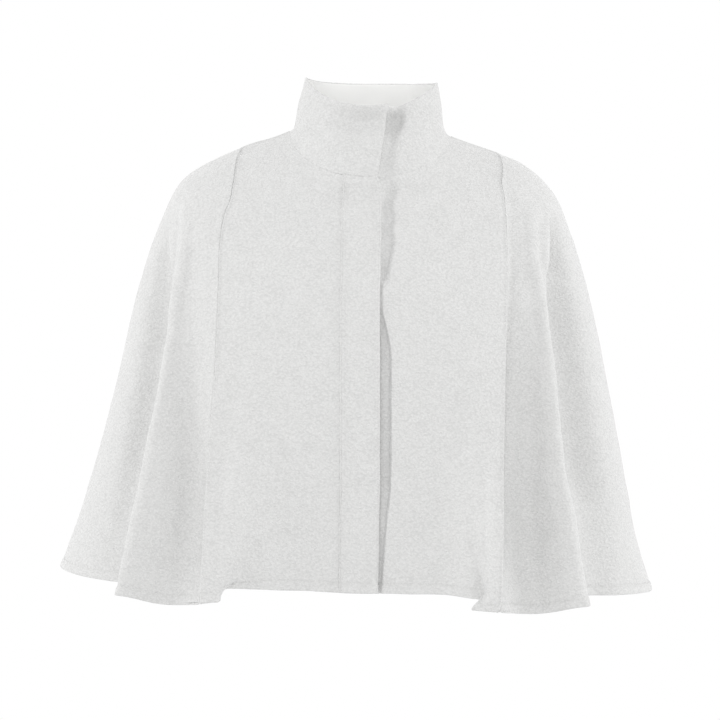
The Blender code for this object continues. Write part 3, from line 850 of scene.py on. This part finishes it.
def thread(name="thread"):
    """White sewing thread: two plies' fine unevenness as a bump, and a slight gloss."""
    made, shader = new_material(name, {"Roughness": 0.5})
    place = add_node(made, "TexCoord", {}, {}).outputs["Object"]
    plies = add_node(made, "TexNoise", {"Scale": 2500}, {"Vector": place}).outputs["Fac"]
    shade = add_shade(made, ((0, (0.60, 0.60, 0.59, 1)), (1, (0.78, 0.78, 0.77, 1))), plies)
    bump = add_node(made, "Bump", {"Strength": 0.4, "Distance": 0.0002}, {"Height": plies})
    join(shader, {"Base Color": shade, "Normal": bump.outputs["Normal"]})
    return made


THREAD = thread()
STITCH, STITCH_GAP, THREAD_THICKNESS = 2.8, 0.8, 0.45
FIRST_STITCH, THREAD_LIFT, THREAD_DIP = 0.5, 0.15, 0.45


def stitches(name, points, normals):
    """A row of stitches along a line of points on the cloth: short beads whose ends dip into it.

    A bead's point is the stitch's middle, plus a share of its length along the line, plus the thread's
    radius times cosine and sine across and out of the cloth, less a dip with the share's fourth power.
    """
    run = lengths(points, 0)
    count = int(run[-1] / (STITCH + STITCH_GAP))
    start = np.linspace(FIRST_STITCH, run[-1] - STITCH - FIRST_STITCH, count)
    share = np.array((-1, -0.85, 0, 0.85, 1))
    angle = np.arange(6) * np.pi / 3
    at = start[:, None] + STITCH * (share + 1) / 2
    line = np.stack([np.interp(at, run, points[:, axis]) for axis in range(3)], axis=-1)
    up = np.stack([np.interp(at, run, normals[:, axis]) for axis in range(3)], axis=-1)
    along = line[:, -1:] - line[:, :1]
    side = np.cross(along / np.linalg.norm(along, axis=-1, keepdims=True), up)
    line = line + up * (THREAD_LIFT - THREAD_DIP * share**4)[:, None]
    radius = (THREAD_THICKNESS / 2 * np.array((0.5, 0.9, 1, 0.9, 0.5)))[:, None, None]
    turn = np.cos(angle)[:, None] * side[:, :, None] + np.sin(angle)[:, None] * up[:, :, None]
    beads = (line[:, :, None] + radius * turn) * MM
    index = np.arange(beads[..., 0].size).reshape(beads.shape[:3])
    near, far = index[:, :-1], index[:, 1:]
    quads = np.stack([near, far, np.roll(far, -1, 2), np.roll(near, -1, 2)], axis=-1).reshape(-1, 4)
    caps = np.concatenate([index[:, 0], index[:, -1, ::-1]])
    mesh = bpy.data.meshes.new(name)
    mesh.from_pydata(beads.reshape(-1, 3).tolist(), [], quads.tolist() + caps.tolist())
    mesh.shade_smooth()
    mesh.materials.append(THREAD)
    made = bpy.data.objects.new(name, mesh)
    scene.collection.objects.link(made)
    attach(made, "root")
    return made


def hem_stitches(name, outer, normals):
    """The row that holds the turn-up, at the hem's width above the edge of the panel's outer face."""
    along = lengths(outer, 0)
    below = along[-1:] - along
    row = (below > HEM_WIDTH).sum(axis=0) - 1
    column = np.arange(outer.shape[1])
    share = (below[row, column] - HEM_WIDTH) / (below[row, column] - below[row + 1, column])
    line = outer[row, column] * (1 - share)[:, None] + outer[row + 1, column] * share[:, None]
    return stitches(f"{name}_hem_stitches", line, normals[row, column])


CAPE_DOWN = steps_down(0)
LAPPED = (SEWN, FREE, FREE, SEWN)
STRIP_COLUMNS, UNDERLAP_COLUMNS, BEND_COLUMNS = 26, 11, 6
FRONTS = {
    "right": (("stitch line", "front flat", "front hollow", "front flute", "front seam"), (14, 14, 18, 18)),
    "left": (("bend", "front flat", "front foot", "front flute", "front seam"), (14, 14, 18, 18)),
}


def right_front():
    """The right front, its first columns even between its edge and the stitch line, for the placket."""
    even = STRIP_COLUMNS - 2 * len(CLOSE)
    strip = spread("right", CAPE_DOWN, ("upper edge", "stitch line"), (even,))
    rest = spread("right", CAPE_DOWN, *FRONTS["right"])
    around = np.concatenate([strip, rest[:, 1:]], axis=1)
    return panel("right_front", (("right", around),), CAPE_DOWN, LAPPED, seed=11, lip=True)


def left_front():
    """The left front, with close columns in the bend where it turns back behind the right one."""
    bend = lap_size("bend", CAPE_DOWN)
    foot = bend - lap_size("bend width", CAPE_DOWN)
    edge = np.full_like(bend, UNDERLAP_X)
    under = [edge + (foot - edge) * share for share in np.linspace(0, 1, UNDERLAP_COLUMNS + 1)[:-1]]
    turn = [foot + (bend - foot) * share for share in np.linspace(0, 1, BEND_COLUMNS + 1)[:-1]]
    lap = np.stack([place_at("left", x, CAPE_DOWN) for x in under + turn], axis=1)
    rest = spread("left", CAPE_DOWN, *FRONTS["left"])
    around = np.concatenate([lap, rest], axis=1)
    return panel("left_front", (("left", around),), CAPE_DOWN, LAPPED, seed=21, lip=True)


front_right, right_outer, right_normals = right_front()
front_left, left_outer, left_normals = left_front()
for piece, node, outer, normals in (
    (front_right, "front_right", right_outer, right_normals),
    (front_left, "front_left", left_outer, left_normals),
):
    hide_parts(node)
    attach(piece, "root")
    sewing = hem_stitches(piece.name, outer, normals)


# The placket: a strip of the same cloth, folded double, laid on the right front's edge to hide the
# fastening and topstitched down its outer side.
PLACKET_CLOTH, PLACKET_GAP = 1.3, 0.15
STRIP_SWELL, STRIP_CELL = 0.2, 14
EDGE_ROLL, ROLL_AT = 1.1, 1.3
ROLL_REACH = ROLL_AT / 1.5
PRESSED_THIN = 0.9
STITCH_IN, STITCH_DIP = 2.6, 0.5


def placket():
    """The right front's first stretch moved out along its directions, flat where it is stitched down."""
    columns = STRIP_COLUMNS + 1
    points, normals = right_outer[:, :columns], right_normals[:, :columns]
    across, along = lengths(points, 1), lengths(points, 0)
    far = across[:, -1:] - across
    pulled = PUCKER * mottle(0 * across, along, PUCKER_LENGTH, 32) * hump(far, STITCH_IN, 4 * STITCH_IN)
    swell = STRIP_SWELL * mottle(across, along, STRIP_CELL, 31)
    rise = pulled + swell - STITCH_DIP * hump(far, STITCH_IN, STITCH_WIDTH)
    rolled = sum(EDGE_ROLL * hump(distance, ROLL_AT, ROLL_REACH) for distance in (across, far))
    pressed = PRESSED_THIN * hump(far, 0, ROLL_REACH)
    under = points + normals * PLACKET_GAP
    outer = under + normals * (PLACKET_CLOTH + rise + rolled - pressed)[..., None]
    uv = np.stack([across, -along], axis=-1)
    return shell("placket_strip", outer, under, normals, uv, (FREE, FREE, FREE, FREE)), outer, normals


strip, strip_outer, strip_normals = placket()
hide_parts("placket")
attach(strip, "root")

# The stitches run down the third column from the sewn edge and keep three rows clear of the strip's ends
placket_sewing = (
    stitches("placket_stitches", strip_outer[3:-3, -3], strip_normals[3:-3, -3]),
    hem_stitches(strip.name, strip_outer, strip_normals),
)


# The side gores: on each side a front and a back gore that run from a point on the shoulder to the hem
# and meet on the over-arm line. Their flare falls in the deep folds before and behind the arms.
GORE_DOWN = steps_down(POINT)
GORES = {
    "front": (("front seam", "side hollow", "arm crest", "arm hollow", "over arm"), (16, 26, 30, 26)),
    "back": (("back seam", "back arm crest", "back arm hollow", "over arm"), (14, 30, 34)),
}

# How far the front gores fall back beside the front seams: depths at levels down
BEHIND_SEAM = {
    ("right", "front"): ((POINT, 0.20, 0.40, 0.60, 0.80, 0.93, 1.00), (0, 0, 1.5, 4, 11, 11, 3)),
    ("left", "front"): ((POINT, 0.16, 0.22, 0.30, 0.45, 0.60, 0.90, 1.00), (0, 2, 5, 9, 13, 14, 13, 5)),
}
for side, seed in (("right", 41), ("left", 51)):
    for face, (names, counts) in GORES.items():
        around = spread(side, GORE_DOWN, names, counts)
        behind = BEHIND_SEAM.get((side, face))
        gore, outer, normals = panel(f"{side}_{face}_gore", ((side, around),), GORE_DOWN, seed=seed, behind=behind)
        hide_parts(f"side_{face}_{side}")
        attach(gore, "root")
        sewing = hem_stitches(gore.name, outer, normals)


# The back: one wide panel of the same crepe between the two back seams, from the neck and the shoulders to
# the hem. Its flare is cut in, not gathered, and its top is sewn into the collar.
def cape_back():
    """The back's stretch of the sheet, from the left seam over the middle to the right one."""
    names, counts = ("back seam", "back hollow", "back flute", "centre back"), (24, 26, 26)
    left = spread("left", CAPE_DOWN, names, counts)
    right = spread("right", CAPE_DOWN, names, counts)[:, ::-1]
    return panel("cape_back", (("left", left), ("right", right[:, 1:])), CAPE_DOWN, seed=61)


back, back_outer, back_normals = cape_back()
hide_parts("back")
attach(back, "root")
back_sewing = hem_stitches(back.name, back_outer, back_normals)


# The collar: one doubled strip that stands up from the neck seam and leans in a little, its right end
# lapped over its left. Its rim is a fold, so it is round and has no stitching.
COLLAR_CLOTH = 2.6
COLLAR_EDGES = (FREE, SEWN, FREE, FREE)
COLLAR_COLUMNS = 110
COLLAR_DOWN = np.concatenate([np.linspace(-0.16, 0, 38)[:-1], (-0.0026, -0.0012, -0.0004, 0)])
COLLAR_SWELL, COLLAR_CELL = 0.3, 17

# In front, the rim rolls out and the cloth is hollow some way below it, around a middle and over a width;
# at the back there is one upright fold, that fades out above the neck seam
ROLL, ROLL_WIDTH = 3.0, 6.0
BAND_DIP, BAND_BELOW, BAND_WIDTH = 11.0, 17.0, 11.0
FRONT_MIDDLE, FRONT_WIDTH = -8.0, 38.0
BACK_FOLD, BACK_FOLD_X, BACK_FOLD_WIDTH, COLLAR_FOLD_FADES = 4.0, 50.0, 5, 25


def funnel_collar():
    """The collar's stretch of the sheet. At the front its rim rolls out a little over a shallow hollow."""
    share = np.linspace(0, 1, COLLAR_COLUMNS + 1)
    tucked = place_at("left", UNDERLAP_X, COLLAR_DOWN)[:, None]
    upper = line_place("right", "upper edge", COLLAR_DOWN)[:, None]
    left = tucked + (1 - tucked) * share
    right = 1 + (upper - 1) * share
    points, normals = read_sheet((("left", left), ("right", right[:, 1:])), COLLAR_DOWN)
    points = drawn_in(points, normals, COLLAR_EDGES, COLLAR_CLOTH)
    across, along = lengths(points, 1), lengths(points, 0)
    front = hump(points[..., 0], FRONT_MIDDLE, FRONT_WIDTH) * (points[..., 1] < 0)
    bowed = ROLL * hump(along, 0, ROLL_WIDTH) - BAND_DIP * hump(along, BAND_BELOW, BAND_WIDTH)
    fold = BACK_FOLD * hump(points[..., 0], BACK_FOLD_X, BACK_FOLD_WIDTH) * (points[..., 1] > 0)
    above = along[-1:] - along
    fold = fold * ramp(0, COLLAR_FOLD_FADES, above)
    points = points + normals * (bowed * front + fold)[..., None]
    normals = grid_normals(points, normals)
    uneven = COLLAR_SWELL * mottle(across, along, COLLAR_CELL, 71) * ramp(0, LEVEL_BESIDE_SEAM, above)
    rolled = EDGE_ROLL * hump(across[:, -1:] - across, ROLL_AT, ROLL_REACH)
    rise = NECK_SEAM_SHARE * seam_lift(above) + uneven + rolled
    outer = points + normals * rise[..., None]
    inner = points - normals * COLLAR_CLOTH
    uv = np.stack([across, -along], axis=-1)
    return shell("funnel_collar", outer, inner, normals, uv, COLLAR_EDGES)


collar = funnel_collar()
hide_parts("collar")
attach(collar, "root")
